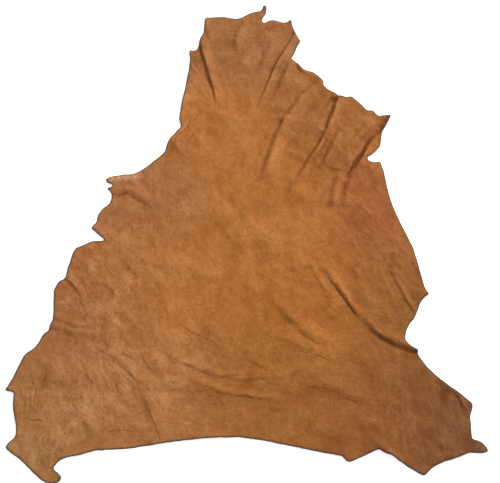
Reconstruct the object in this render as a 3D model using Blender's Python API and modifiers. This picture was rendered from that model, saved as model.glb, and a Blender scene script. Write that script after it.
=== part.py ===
"""Leather hide: one whole tanned skin, laid out grain side up on a flat surface.

Metres, +Z up.  X runs across the skin, +Y runs from the rump to the neck, and the flesh side
lies on Z = 0 wherever no fold or curled tip lifts it.  The origin is the middle of the skin's box.
The tables below are in centimetres, as a cutter would chalk them out from the middle of the skin.
"""
from math import ceil, hypot

import bpy
from mathutils import Vector
from mathutils.geometry import delaunay_2d_cdt

CM = 0.01
THICKNESS = 0.0015          # an even, soft garment weight
EDGE_STEP = 1.4             # longest straight piece of a bowed edge, cm
FOLD_STEP = 0.75            # spacing of the surface points on a fold, cm
FLAT_STEPS = 3              # the flats keep every third of those points
EDGE_CLEARANCE = 0.45       # no surface point lies nearer the cut edge, cm

LEATHER_COLOUR = (0.36, 0.16, 0.06, 1.0)
LEATHER_ROUGHNESS = 0.75

# The cut edge, clockwise from the left corner of the neck as seen from above.
# Columns: across, along, bow (how far the edge to the next row swells outwards; minus is inwards).
NECK = (
    (-7.6, 41.3, 0.1), (-3.8, 41.6, -0.1), (-1.3, 41.1, -0.1), (0.0, 41.8, 0.2),
    (2.6, 42.9, 0.0), (3.3, 42.9, -0.1), (4.0, 44.1, 0.3), (4.1, 42.2, -0.1),
    (3.3, 40.4, -0.1), (4.0, 40.1, 0.0), (4.7, 40.7, 0.1), (6.3, 40.7, 0.0),
    (7.0, 40.2, 0.0), (8.2, 40.2, -0.1), (9.1, 40.8, 0.1), (9.3, 39.6, -0.1),
    (10.8, 35.8, 0.0), (10.0, 34.4, 0.1),
)
RIGHT_SHOULDER = (
    (8.9, 32.0, -0.1), (9.8, 31.2, 0.1), (10.9, 29.7, -0.1), (12.9, 29.0, 0.1),
    (14.4, 27.6, 0.2), (14.8, 25.9, -0.1), (17.0, 24.4, 0.1), (17.6, 23.6, -0.1),
    (20.0, 23.6, 0.1), (22.9, 20.6, -0.1), (23.9, 20.5, 0.1), (25.0, 19.5, 0.2),
    (26.5, 19.5, -0.1),
)
RIGHT_FORELEG = (
    (27.1, 19.7, 0.1), (25.3, 16.4, -0.1), (24.7, 13.3, 0.2), (22.0, 11.0, -0.3),
    (23.2, 10.0, 0.0), (24.5, 10.2, 0.1), (25.1, 7.0, -0.1), (26.2, 1.3, -0.1),
    (29.0, -6.0, 0.0), (30.2, -12.6, -0.1),
)
RIGHT_FLANK = (
    (31.0, -14.6, 0.2), (30.0, -15.2, -0.2), (29.0, -17.0, 0.2), (27.3, -19.6, -0.2),
    (26.4, -22.3, -0.2), (27.8, -23.6, -0.1), (28.5, -23.8, 0.0), (28.2, -24.2, -0.1),
    (29.5, -26.5, -0.1),
)
RIGHT_SHANK = (
    (33.7, -30.3, 0.1), (36.3, -32.5, 0.1), (35.7, -34.2, 0.0), (35.6, -37.9, 0.0),
    (36.7, -38.1, 0.2), (37.9, -39.7, 0.2), (37.0, -39.9, 0.0), (34.9, -39.8, 0.1),
    (30.8, -41.2, -0.3), (27.7, -43.3, 0.1), (23.0, -40.2, 0.1), (21.0, -39.2, 0.1),
    (16.1, -41.3, 0.0), (15.3, -40.3, 0.0),
)
RUMP = (
    (11.8, -39.7, 0.0), (3.3, -38.0, 0.0), (-0.5, -37.5, 0.0), (-5.0, -37.6, 0.0),
    (-10.3, -38.1, 0.0), (-17.6, -39.2, 0.0), (-22.9, -39.5, 0.1),
)
LEFT_SHANK = (
    (-27.2, -40.5, -0.4), (-29.2, -42.2, -0.1), (-27.6, -43.3, 0.2), (-27.8, -44.1, 0.2),
    (-30.0, -44.2, 0.1), (-31.9, -42.9, 0.0), (-34.6, -40.6, 0.1), (-36.7, -39.1, 0.2),
    (-35.4, -37.6, -0.1), (-35.4, -35.9, 0.0), (-36.3, -32.9, 0.0), (-36.4, -30.7, -0.1),
    (-37.9, -30.4, -0.2), (-36.0, -26.0, 0.4), (-34.3, -23.8, -0.2),
)
LEFT_FLANK = (
    (-32.8, -21.2, 0.0), (-31.9, -20.6, 0.1), (-31.3, -18.8, 0.0), (-31.7, -13.9, 0.0),
    (-31.1, -12.3, -0.1), (-29.8, -11.7, 0.2), (-29.4, -8.7, 0.1), (-28.8, -6.4, -0.1),
    (-26.3, -5.1, 0.1), (-23.9, -5.1, 0.1), (-24.0, -4.6, 0.0), (-26.4, -2.7, -0.4),
    (-25.4, -0.1, 0.2), (-23.6, 1.9, -0.2),
)
LEFT_FORELEG = (
    (-23.2, 3.8, -0.1), (-24.0, 4.9, 0.0), (-23.4, 5.5, -0.2), (-24.2, 6.2, 0.3),
    (-23.2, 7.2, 0.0), (-19.6, 7.7, -0.1), (-16.3, 10.0, 0.0), (-14.1, 12.2, 0.1),
    (-13.6, 14.5, 0.1), (-11.4, 17.3, 0.0),
)
LEFT_SHOULDER = (
    (-11.9, 18.8, 0.0), (-11.4, 23.2, 0.0), (-10.4, 29.3, 0.0), (-10.3, 31.6, -0.1),
    (-10.6, 33.3, 0.2), (-9.1, 34.0, -0.1), (-7.8, 38.2, 0.0),
)
CUT_EDGE = (
    NECK + RIGHT_SHOULDER + RIGHT_FORELEG + RIGHT_FLANK + RIGHT_SHANK
    + RUMP + LEFT_SHANK + LEFT_FLANK + LEFT_FORELEG + LEFT_SHOULDER
)

# The main folds, each a raised pleat along a curve through three places.
# Columns: start, middle, end (across, along), half width, height, and the share of the height
# at the start: 1 where the pleat runs out at the cut edge, 0 where it fades out at both ends.
FOLDS = (
    # neck
    ((-9.0, 34.8), (-7.0, 29.8), (-5.3, 23.0), 1.5, 0.60, 1.0),
    ((-0.9, 41.5), (-1.5, 37.5), (-1.8, 31.5), 1.2, 0.45, 0.7),
    ((9.6, 38.4), (6.5, 30.6), (2.9, 21.0), 1.6, 0.70, 0.8),
    # right shoulder and foreleg
    ((15.0, 25.6), (9.8, 19.4), (5.4, 11.0), 2.0, 0.45, 0.7),
    ((17.8, 23.9), (15.9, 17.2), (12.4, 9.6), 1.7, 0.80, 1.0),
    ((26.6, 20.0), (21.2, 13.4), (17.4, 6.6), 1.8, 0.80, 0.8),
    ((18.2, 7.4), (17.0, 4.0), (16.6, -1.0), 1.6, 0.30, 0.0),
    # left foreleg and flank
    ((-23.4, 4.4), (-20.6, 4.3), (-15.6, 1.2), 1.3, 0.45, 1.0),
    ((-30.2, -11.0), (-28.2, -12.2), (-26.4, -16.0), 1.2, 0.50, 1.0),
    ((-32.2, -19.8), (-28.0, -20.2), (-22.6, -21.0), 1.6, 0.35, 0.8),
    # right flank and hind leg
    ((28.9, -23.6), (20.6, -18.2), (12.2, -8.4), 2.0, 0.80, 0.9),
    ((29.0, -17.4), (26.4, -12.2), (23.2, -4.0), 1.5, 0.50, 0.9),
    ((21.6, -38.8), (19.6, -37.8), (15.6, -37.2), 1.3, 0.40, 0.9),
    # rump
    ((-12.5, -25.6), (-4.5, -28.0), (4.5, -29.2), 1.6, 0.30, 0.0),
    ((-8.5, -29.6), (-2.0, -30.8), (5.5, -32.0), 1.4, 0.25, 0.0),
)
FOLD_PIECES = 12            # straight pieces that stand for a fold's curve
FOLD_RISE = 0.3             # share of its length over which a fold swells to its full height
FOLD_FALL = 0.55            # share of its length over which it fades out again

# Corners that curl up off the surface.  Columns: across, along, reach, height.
CURLS = (
    (4.1, 44.4, 2.6, 0.5), (11.2, 35.7, 2.4, 0.5), (27.6, 20.0, 3.2, 0.6),
    (31.4, -14.8, 2.6, 0.4), (38.6, -40.2, 3.2, 0.6), (37.0, -32.4, 2.8, 0.4),
    (27.7, -43.9, 2.8, 0.4), (-27.2, -43.9, 2.2, 0.5), (-37.4, -39.2, 3.0, 0.6),
    (-38.5, -30.3, 2.6, 0.4), (-27.0, -2.6, 2.6, 0.4), (-24.8, 6.7, 2.2, 0.7),
    (-11.2, 33.4, 2.0, 0.5), (-8.2, 41.9, 2.2, 0.4),
)


def clear_scene():
    for old in list(bpy.data.objects):
        bpy.data.objects.remove(old, do_unlink=True)


def curve_point(start, middle, end, share):
    """The place at a share of the way along the parabola through three places."""
    bend = Vector(middle) * 2 - (Vector(start) + Vector(end)) / 2
    ahead = Vector(start).lerp(bend, share)
    return ahead.lerp(bend.lerp(Vector(end), share), share)


def cut_edge_points():
    """The outline as a closed ring of places, with every bowed stretch broken into short pieces."""
    ring = []
    for row, following in zip(CUT_EDGE, CUT_EDGE[1:] + CUT_EDGE[:1]):
        start, end, bow = Vector(row[:2]), Vector(following[:2]), row[2]
        chord = end - start
        outwards = Vector((-chord.y, chord.x)).normalized()
        middle = (start + end) / 2 + outwards * bow
        pieces = ceil(chord.length / EDGE_STEP)
        ring += [curve_point(start, middle, end, k / pieces) for k in range(pieces)]
    return ring


def distance_to_line(place, line):
    """Distance from a place to a chain of points, and how far along the chain it is, 0 to 1."""
    nearest, along = 1e9, 0.0
    for k, (a, b) in enumerate(zip(line, line[1:])):
        step = b - a
        share = min(1.0, max(0.0, (place - a).dot(step) / step.length_squared))
        distance = (place - a.lerp(b, share)).length
        if distance < nearest:
            nearest, along = distance, (k + share) / (len(line) - 1)
    return nearest, along


def ease(share):
    """A soft step from 0 to 1, level at both ends and beyond them."""
    share = min(1.0, max(0.0, share))
    return share * share * (3 - 2 * share)


def fold_lines():
    shares = [k / FOLD_PIECES for k in range(FOLD_PIECES + 1)]
    return [[curve_point(*fold[:3], share) for share in shares] for fold in FOLDS]


def height_at(place, lines):
    """Height of the flesh side over the surface at a place, in cm."""
    height = 0.0
    for (_, _, _, half_width, crest, start_share), line in zip(FOLDS, lines):
        distance, along = distance_to_line(place, line)
        rising = start_share + (1 - start_share) * ease(along / FOLD_RISE)
        falling = ease((1 - along) / FOLD_FALL)
        height += crest * rising * falling * (1 - ease(distance / half_width))
    for across, along, reach, crest in CURLS:
        distance = hypot(place.x - across, place.y - along)
        height += crest * (1 - ease(distance / reach))
    return height


def inside(place, closed_ring):
    """Whether a place is inside a ring: a line from it to the right then crosses the ring an odd
    number of times."""
    crossings = 0
    for a, b in zip(closed_ring, closed_ring[1:]):
        if (a.y > place.y) != (b.y > place.y):
            crossings += place.x < a.x + (b.x - a.x) * (place.y - a.y) / (b.y - a.y)
    return crossings % 2 == 1


def surface_points(ring, lines):
    """Points inside the cut edge: close together on the folds, far apart on the flats."""
    left, right = min(p.x for p in ring), max(p.x for p in ring)
    bottom, top = min(p.y for p in ring), max(p.y for p in ring)
    closed_ring = ring + ring[:1]
    points = []
    for column in range(ceil((right - left) / FOLD_STEP)):
        for row in range(ceil((top - bottom) / FOLD_STEP)):
            shift = FOLD_STEP / 2 * (row % 2)
            place = Vector((left + column * FOLD_STEP + shift, bottom + row * FOLD_STEP))
            on_fold = height_at(place, lines) > 0
            on_flat = column % FLAT_STEPS == 0 and row % FLAT_STEPS == 0
            if not (on_fold or on_flat):
                continue
            if inside(place, closed_ring) and distance_to_line(place, closed_ring)[0] > EDGE_CLEARANCE:
                points.append(place)
    return points


def make_leather():
    leather = bpy.data.materials.new("leather")
    leather.use_nodes = True
    surface = leather.node_tree.nodes["Principled BSDF"]
    surface.inputs["Base Color"].default_value = LEATHER_COLOUR
    surface.inputs["Roughness"].default_value = LEATHER_ROUGHNESS
    surface.inputs["Metallic"].default_value = 0.0
    return leather


def make_hide(collection):
    """The skin: its flesh side as an open, folded surface, then the leather's thickness on top."""
    ring = cut_edge_points()
    lines = fold_lines()
    places = ring + surface_points(ring, lines)
    outline = list(range(len(ring)))
    inside_only = 1
    flat, _, faces, *_ = delaunay_2d_cdt(places, [], [outline], inside_only, 1e-5)

    centre_x = (min(p.x for p in ring) + max(p.x for p in ring)) / 2
    centre_y = (min(p.y for p in ring) + max(p.y for p in ring)) / 2
    flesh_side = [
        Vector((p.x - centre_x, p.y - centre_y, height_at(p, lines))) * CM for p in flat
    ]
    mesh = bpy.data.meshes.new("hide")
    mesh.from_pydata(flesh_side, [], faces)
    mesh.materials.append(make_leather())
    hide = bpy.data.objects.new("hide", mesh)
    collection.objects.link(hide)

    body = hide.modifiers.new("thickness", "SOLIDIFY")
    body.thickness = THICKNESS
    body.offset = 1.0
    return hide


clear_scene()
hide_collection = bpy.data.collections.new("leather hide")
bpy.context.scene.collection.children.link(hide_collection)
make_hide(hide_collection)
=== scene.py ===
from math import radians

import bmesh
import bpy
import numpy as np
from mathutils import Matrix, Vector, kdtree, noise
from mathutils.geometry import delaunay_2d_cdt


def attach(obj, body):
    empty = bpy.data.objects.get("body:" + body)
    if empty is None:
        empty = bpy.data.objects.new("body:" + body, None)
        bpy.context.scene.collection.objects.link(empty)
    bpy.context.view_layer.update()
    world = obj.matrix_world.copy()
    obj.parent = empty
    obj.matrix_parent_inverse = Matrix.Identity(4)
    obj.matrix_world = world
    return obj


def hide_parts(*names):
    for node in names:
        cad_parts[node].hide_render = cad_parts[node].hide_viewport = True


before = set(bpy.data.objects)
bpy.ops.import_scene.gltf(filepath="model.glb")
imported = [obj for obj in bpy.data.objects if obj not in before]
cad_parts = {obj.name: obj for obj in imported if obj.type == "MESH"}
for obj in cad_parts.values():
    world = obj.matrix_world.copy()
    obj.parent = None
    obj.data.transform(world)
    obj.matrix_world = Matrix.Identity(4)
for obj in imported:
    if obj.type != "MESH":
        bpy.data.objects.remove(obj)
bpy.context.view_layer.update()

# ---- The skin: its cut edge --------------------------------------------------------------------
# One whole skin, tanned through, dyed brown and lightly buffed on the grain side.  It was trimmed
# freehand with a knife, so its edge wanders, with small nicks and drawn-out corners.
# Places on it are in centimetres from its middle: across, then along towards the neck.
CM = 0.01
EDGE_STEP = 0.22            # spacing of the points round the cut edge
EDGE_SOFTENING = 3          # passes that round the corners to a knife's turning circle
EDGE_SPREAD = 0.06          # the cut bows out past its straight chords by this much
KNIFE_WANDER = ((0.9, 0.05), (0.35, 0.035))     # over what length the cut strays, how far
KNIFE_SEED = 5.5            # which of many wandering cuts this one is
UNDERSIDE = -0.6            # faces whose normals point down by more than this are the flesh side

# Small departures from the block outline.  Columns: across, along, outwards, reach.
NICKS = (
    (-24.2, 6.3, 0.35, 0.4), (-23.5, 5.5, -0.4, 0.3), (-24.0, 4.9, 0.35, 0.25),   # left foreleg
    (4.1, 44.0, 0.2, 0.5),                                                        # neck
    (20.0, 23.8, 0.2, 0.7), (18.6, 24.0, -0.15, 0.6), (23.6, 20.8, 0.2, 0.5),     # right shoulder
    (22.4, 21.2, -0.1, 0.5), (24.7, 19.9, -0.2, 0.5),
)


def evenly(line, step):
    """A chain of places spaced evenly, about a step apart, with both ends kept."""
    lengths = np.hypot(*np.diff(line, axis=0).T)
    along = np.concatenate(([0.0], np.cumsum(lengths)))
    at = np.linspace(0, along[-1], max(2, round(along[-1] / step) + 1))
    return np.column_stack([np.interp(at, along, line[:, axis]) for axis in (0, 1)])


def block_outline(node):
    """The cut edge of the CAD skin's flesh side as a ring of plan places, anticlockwise."""
    shell = bmesh.new()
    shell.from_mesh(node.data)
    bmesh.ops.remove_doubles(shell, verts=shell.verts, dist=1e-6)
    shell.normal_update()
    following = {}
    for face in shell.faces:
        if face.normal.z < UNDERSIDE:
            for loop in face.loops:
                if loop.link_loop_radial_next.face.normal.z >= UNDERSIDE:
                    following[loop.vert] = loop.link_loop_next.vert
    start = min(following, key=lambda vert: (vert.co.x, vert.co.y))
    ring, vert = [start.co.xy / CM], following[start]
    while vert != start:
        ring.append(vert.co.xy / CM)
        vert = following[vert]
    assert len(ring) == len(following), "the flesh side has more than one edge"
    shell.free()
    return np.array(ring[::-1])


def outwards_from(ring):
    """The unit direction out of an anticlockwise ring at each of its places."""
    along = np.roll(ring, -1, axis=0) - np.roll(ring, 1, axis=0)
    along /= np.linalg.norm(along, axis=1)[:, None]
    return np.column_stack((along[:, 1], -along[:, 0]))


def trimmed(ring):
    """A block outline as the knife left it: softened corners, nicks and a wandering cut."""
    ring = evenly(np.vstack((ring, ring[:1])), EDGE_STEP)[:-1]
    for _ in range(EDGE_SOFTENING):
        ring = (ring + (np.roll(ring, 1, axis=0) + np.roll(ring, -1, axis=0)) / 2) / 2
    push = np.full(len(ring), EDGE_SPREAD)
    for across, along, depth, reach in NICKS:
        away = np.hypot(ring[:, 0] - across, ring[:, 1] - along)
        push += depth * np.exp(-(away / reach) ** 2)
    for length, far in KNIFE_WANDER:
        push += [far * noise.noise((x / length, y / length, KNIFE_SEED)) for x, y in ring]
    ring = ring + outwards_from(ring) * push[:, None]
    return evenly(np.vstack((ring, ring[:1])), EDGE_STEP)[:-1]


cut_edge = trimmed(block_outline(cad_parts["hide"]))
cut_outwards = outwards_from(cut_edge)

# ---- The skin: its folds -----------------------------------------------------------------------
# The skin is drier and baggier at the neck, shoulders and shanks, so it lies in loose pleats that
# run in from the edge.  Each has a foot, a steep face that leans over it, and a long soft back.
MOST_HEIGHT = 1.0           # pleats that meet don't pile up past this, cm
TALL = 0.5                  # a pleat this high takes its wear, painted highlight and painted shade in full, cm
RISES_OVER = 0.25           # share of a pleat's length over which it gains its full height
FACE_SHADE_BAND = (0.3, 0.35)          # where painted shade lies on a pleat's face, and how wide, in shares of it
FOLD_SEED = 3.1             # which of many ways the pleats stray

# Columns: which side of the foot line the pleat lies on as it runs in (1 left, -1 right), width
# of its face, reach of its back, height, how far it leans for its height, share of its height at
# the first place, share of its length over which it fades out, and the foot line's places.
PLEATS = (
    # neck
    (1, 0.62, 1.5, 0.62, 0.30, 1.0, 0.55,
     ((-9.4, 37.0), (-9.0, 35.9), (-8.5, 34.9), (-7.9, 32.2), (-7.2, 29.5), (-6.6, 27.1),
      (-6.0, 25.2), (-5.7, 22.5), (-5.7, 19.6))),
    (-1, 0.50, 0.7, 0.28, 0.15, 0.9, 0.50,
     ((-9.9, 34.8), (-9.8, 33.4), (-9.6, 31.6), (-9.1, 30.1), (-8.3, 28.9), (-7.6, 27.8))),
    (1, 1.00, 1.0, 0.22, 0.15, 0.3, 0.50,
     ((-0.4, 41.4), (-1.2, 39.4), (-2.0, 37.4), (-2.4, 35.6), (-2.2, 33.6), (-1.9, 31.0))),
    (1, 0.75, 1.0, 0.50, 0.30, 0.3, 0.45,
     ((9.9, 39.6), (9.1, 37.6), (8.2, 35.4), (6.7, 32.7), (5.4, 29.9), (4.3, 27.1),
      (3.4, 25.0), (2.6, 22.8), (1.7, 19.8))),
    (1, 1.40, 1.6, 0.26, 0.10, 0.0, 0.50,
     ((4.9, 37.8), (4.3, 35.6), (3.4, 33.4), (2.4, 31.0), (1.4, 28.4), (0.6, 25.8))),
    (1, 0.80, 0.9, 0.22, 0.15, 0.0, 0.50,
     ((9.0, 32.6), (7.8, 30.4), (6.9, 28.2), (6.0, 26.0), (5.0, 23.8), (4.2, 21.6))),
    (-1, 0.90, 0.9, 0.16, 0.10, 0.5, 0.60,
     ((-7.0, 42.2), (-6.4, 39.6), (-5.6, 37.2), (-5.2, 34.6))),
    # right shoulder
    (1, 0.45, 0.8, 0.24, 0.30, 0.8, 0.60,
     ((9.6, 31.9), (10.3, 29.6), (11.2, 28.7), (12.5, 27.8))),
    (1, 1.40, 1.7, 0.74, 0.15, 0.6, 0.35,
     ((14.0, 28.0), (11.6, 25.8), (9.8, 23.9), (8.5, 21.9), (7.4, 20.2), (6.4, 18.4),
      (5.5, 16.4), (4.8, 14.6), (4.2, 12.8), (3.5, 10.6), (2.2, 7.2), (0.6, 4.0))),
    (1, 0.90, 1.0, 0.30, 0.15, 0.6, 0.50,
     ((16.4, 25.0), (15.7, 23.2), (14.7, 21.6), (13.7, 20.2), (12.7, 18.2))),
    (1, 0.95, 1.25, 0.74, 0.10, 1.0, 0.40,
     ((17.9, 25.2), (17.0, 23.6), (16.3, 21.5), (15.5, 19.3), (14.75, 17.2), (13.9, 15.3),
      (13.0, 13.6), (12.0, 12.0), (11.0, 10.6), (10.0, 8.9), (8.8, 6.9), (7.3, 4.2))),
    (1, 1.00, 1.0, 0.34, 0.10, 0.0, 0.50,
     ((17.0, 18.2), (16.1, 15.8), (15.2, 13.6), (14.2, 11.4), (13.1, 9.4), (12.2, 7.4),
      (11.4, 5.4))),
    # right foreleg
    (1, 0.80, 1.0, 0.40, 0.05, 0.9, 0.35,
     ((27.6, 20.6), (26.6, 18.9), (25.2, 17.2), (23.8, 15.7), (22.4, 13.9), (21.2, 12.1),
      (20.1, 10.3), (19.2, 8.8), (18.3, 7.5), (17.6, 6.2))),
    (-1, 1.00, 1.3, 0.34, 0.10, 0.3, 0.50,
     ((24.9, 18.2), (23.4, 16.6), (22.0, 15.0), (20.6, 13.2), (19.4, 11.4))),
    (1, 1.20, 0.8, 0.34, 0.10, 0.0, 0.55,
     ((17.2, 9.2), (16.2, 7.4), (15.4, 5.6), (14.9, 3.6), (14.6, 1.6), (14.5, -0.8))),
    (1, 0.90, 0.8, 0.26, 0.10, 0.2, 0.55,
     ((18.7, 7.6), (17.9, 5.8), (17.3, 4.2), (17.1, 2.4), (17.6, 0.6))),
    # left foreleg and flank
    (1, 1.20, 1.3, 0.27, 0.10, 0.2, 0.60,
     ((-23.4, 3.3), (-21.5, 3.7), (-20.0, 3.4), (-18.4, 2.4), (-16.8, 1.3), (-15.4, 0.3),
      (-14.0, -1.0))),
    (1, 0.60, 0.8, 0.22, 0.20, 0.9, 0.70,
     ((-31.2, -11.4), (-30.1, -11.9), (-28.9, -12.9), (-28.0, -14.1), (-27.4, -15.4),
      (-26.9, -17.0), (-26.6, -18.4))),
    (1, 1.20, 1.0, 0.26, 0.10, 0.8, 0.60,
     ((-32.8, -20.6), (-31.4, -20.6), (-29.4, -21.3), (-27.0, -22.0), (-25.0, -22.4),
      (-22.0, -22.5))),
    (1, 0.80, 0.8, 0.20, 0.15, 0.8, 0.55,
     ((-32.4, -18.7), (-31.0, -19.1), (-29.6, -19.6), (-28.0, -20.2), (-26.2, -20.4),
      (-23.0, -20.0))),
    # right flank and hind leg
    (-1, 1.00, 1.1, 0.60, 0.05, 1.0, 0.45,
     ((29.6, -24.8), (28.3, -24.5), (26.9, -24.2), (25.2, -23.6), (23.6, -22.8),
      (22.0, -21.7), (20.6, -20.4), (19.6, -19.2), (18.9, -17.8), (18.5, -16.4))),
    (-1, 0.80, 1.0, 0.52, 0.05, 0.1, 0.70,
     ((19.3, -19.2), (18.3, -17.9), (17.3, -16.5), (16.4, -15.1), (15.4, -13.5),
      (14.4, -11.9), (13.1, -10.2), (11.5, -8.4))),
    (-1, 0.60, 0.9, 0.20, 0.20, 0.8, 0.65,
     ((28.9, -19.6), (28.1, -17.9), (27.1, -15.8), (26.2, -13.8), (25.3, -12.1),
      (24.3, -9.4), (23.5, -7.3), (22.6, -4.6))),
    (-1, 1.40, 1.8, 0.34, 0.10, 0.0, 0.50,
     ((14.4, -24.6), (12.0, -23.0), (10.2, -21.8), (8.4, -20.5), (6.9, -19.1),
      (5.4, -17.4), (4.2, -15.6), (3.2, -13.8))),
    (-1, 0.45, 0.8, 0.22, 0.00, 1.0, 0.60,
     ((24.0, -41.1), (22.8, -40.4), (21.8, -39.7), (20.8, -39.0), (19.9, -38.6))),
    (1, 0.50, 0.6, 0.18, 0.10, 0.0, 0.50,
     ((33.0, -30.2), (33.9, -31.6), (34.6, -33.0), (35.0, -34.4))),
    (1, 0.80, 0.9, 0.12, 0.10, 0.0, 0.50,
     ((10.2, -7.6), (10.9, -9.4), (11.7, -11.2), (13.0, -13.6), (14.8, -16.4))),
    # rump
    (1, 0.80, 1.2, 0.16, 0.10, 0.0, 0.40,
     ((-13.4, -25.2), (-9.4, -26.5), (-6.0, -27.7), (-3.2, -28.5), (-0.6, -28.9),
      (2.3, -28.6), (4.0, -29.0), (6.2, -30.0), (8.6, -30.4))),
    (1, 0.70, 1.0, 0.17, 0.15, 0.0, 0.40,
     ((-9.4, -29.3), (-6.4, -29.9), (-4.4, -30.6), (-1.7, -31.3), (0.0, -31.4),
      (1.3, -31.7), (3.0, -31.9), (6.0, -32.2), (9.0, -32.4))),
    (1, 1.30, 1.6, 0.17, 0.10, 0.0, 0.50,
     ((8.8, -30.8), (11.4, -30.4), (13.4, -30.6), (15.4, -31.4), (17.6, -32.4),
      (20.4, -33.8))),
    (1, 1.00, 1.2, 0.08, 0.10, 0.0, 0.50,
     ((5.6, -22.4), (8.4, -23.6), (11.0, -24.4), (13.6, -25.6), (16.4, -27.4))),
    # loose belly on the left, where nothing runs out at the edge
    (1, 0.90, 1.2, 0.26, 0.15, 0.0, 0.50,
     ((-30.4, -39.4), (-28.6, -38.1), (-26.9, -36.9), (-25.4, -35.8), (-23.4, -34.2))),
    (1, 1.00, 1.0, 0.16, 0.10, 0.4, 0.60,
     ((-14.4, 14.6), (-13.2, 13.2), (-12.2, 11.6), (-11.6, 9.8))),
    (1, 0.90, 1.2, 0.16, 0.10, 0.0, 0.50,
     ((-23.4, -24.0), (-20.6, -25.8), (-18.4, -27.8), (-16.6, -30.4), (-15.4, -33.4))),
)
WANDER = (0.16, 2.2)        # how far a pleat strays from its chalked line, and over what length
RISE_AND_FALL = (0.32, 3.6)     # how much its height varies along it, and over what length

# Corners that dried curled up off the bench.  Columns: across, along, reach, height.
CURLS = (
    (4.1, 44.4, 2.6, 0.5), (11.2, 35.7, 2.4, 0.5), (27.6, 20.0, 3.2, 0.5),
    (31.4, -14.8, 2.6, 0.4), (38.6, -40.2, 3.2, 0.6), (37.0, -32.4, 2.8, 0.4),
    (27.7, -43.9, 2.8, 0.4), (-27.2, -43.9, 2.2, 0.5), (-37.4, -39.2, 3.0, 0.6),
    (-38.5, -30.3, 2.6, 0.4), (-27.0, -2.6, 2.6, 0.4), (-24.8, 6.7, 2.2, 0.6),
    (-11.2, 33.4, 2.0, 0.5), (-8.2, 41.9, 2.2, 0.4), (9.6, 41.0, 1.8, 0.4),
)
CURL_POWER = 1.3            # above 1, a curl is steepest at its tip
LIFTED_EDGE = (0.16, 1.6, 5.0)      # how high the edge lifts between folds, reach, wavelength
LIFT_SEED = 1.7             # which of many ways it lifts


def ease(share):
    """A soft step from 0 to 1, level at both ends and beyond them."""
    share = np.clip(share, 0, 1)
    return share * share * (3 - 2 * share)


def through(places, step):
    """A smooth line through a few chalked places, with points about a step apart."""
    places = np.array(places, float)
    ends = 2 * places[:1] - places[1:2], 2 * places[-1:] - places[-2:-1]
    chain = np.vstack((ends[0], places, ends[1]))
    t = np.linspace(0, 1, 12, endpoint=False)[:, None]
    line = [
        (2 * b + (c - a) * t + (2 * a - 5 * b + 4 * c - d) * t**2
         + (3 * b - a - 3 * c + d) * t**3) / 2
        for a, b, c, d in zip(chain, chain[1:], chain[2:], chain[3:])
    ]
    return evenly(np.vstack((*line, places[-1:])), step)


def beside(line, places):
    """How places lie to a line: distance, plus on its left; share of the way along it; and the
    direction to its left there."""
    start, step = line[:-1], np.diff(line, axis=0)
    squared = (step**2).sum(axis=1)
    offset = places[:, None] - start
    share = np.clip((offset * step).sum(axis=2) / squared, 0, 1)
    away = offset - share[..., None] * step
    nearest = np.argmin((away**2).sum(axis=2), axis=1)
    row = np.arange(len(places))
    left = np.column_stack((-step[:, 1], step[:, 0])) / np.sqrt(squared)[:, None]
    left, away = left[nearest], away[row, nearest]
    distance = np.linalg.norm(away, axis=1) * np.where((away * left).sum(axis=1) < 0, -1, 1)
    return distance, (nearest + share[row, nearest]) / len(step), left


pleat_lines = [through(pleat[-1], 0.3) for pleat in PLEATS]
edge_tree = kdtree.KDTree(len(cut_edge))
for number, (x, y) in enumerate(cut_edge):
    edge_tree.insert((x, y, 0), number)
edge_tree.balance()


def drape(places):
    """Where plan places of the skin's middle layer come to lie, in cm, their wear and painted
    highlight on a pleat's crest and painted shade on its face, and their distance from the cut
    edge."""
    shift = np.zeros_like(places)
    lift, crest, foot = np.zeros((3, len(places)))
    stray, wander = (
        amount * np.array([noise.noise((x / length, y / length, FOLD_SEED)) for x, y in places])
        for amount, length in (WANDER, RISE_AND_FALL))
    for pleat, line in zip(PLEATS, pleat_lines):
        side, face, reach, height, lean, start, fade, _ = pleat
        margin = face + reach
        near = np.all((places > line.min(axis=0) - margin) & (places < line.max(axis=0) + margin),
                      axis=1).nonzero()[0]
        distance, share, left = beside(line, places[near])
        distance = distance * side + stray[near]
        swell = (start + (1 - start) * ease(share / RISES_OVER)) * ease((1 - share) / fade)
        swell *= 1 + wander[near]
        profile = swell * ease(distance / face) * (1 - ease((distance - face) / reach))
        lift[near] += height * profile
        shift[near] -= (side * lean * height * profile)[:, None] * left
        # the crest's mark: paler from wear and from a painted highlight
        crest[near] += min(height / TALL, 1) * profile**4
        # the face's mark: painted shade where the pleat leans over its foot
        shade_on_face = swell * np.exp(-((distance / face - FACE_SHADE_BAND[0]) / FACE_SHADE_BAND[1]) ** 2)
        foot[near] = np.maximum(foot[near], min(height / TALL, 1) * shade_on_face)
    lift = MOST_HEIGHT * np.tanh(lift / MOST_HEIGHT)
    for across, along, reach, height in CURLS:
        away = np.hypot(places[:, 0] - across, places[:, 1] - along)
        lift += height * (1 - ease(away / reach)) ** CURL_POWER
    found = [edge_tree.find((x, y, 0)) for x, y in places]
    to_edge = np.array([distance for _, _, distance in found])
    high, reach, wavelength = LIFTED_EDGE
    ripple = [noise.noise((*(at.xy / wavelength), LIFT_SEED)) for at, _, _ in found]
    lift += high * np.maximum(0, ripple) * 2 * (1 - ease(to_edge / reach))
    return np.column_stack((places + shift, lift)), crest, foot, to_edge
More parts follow.
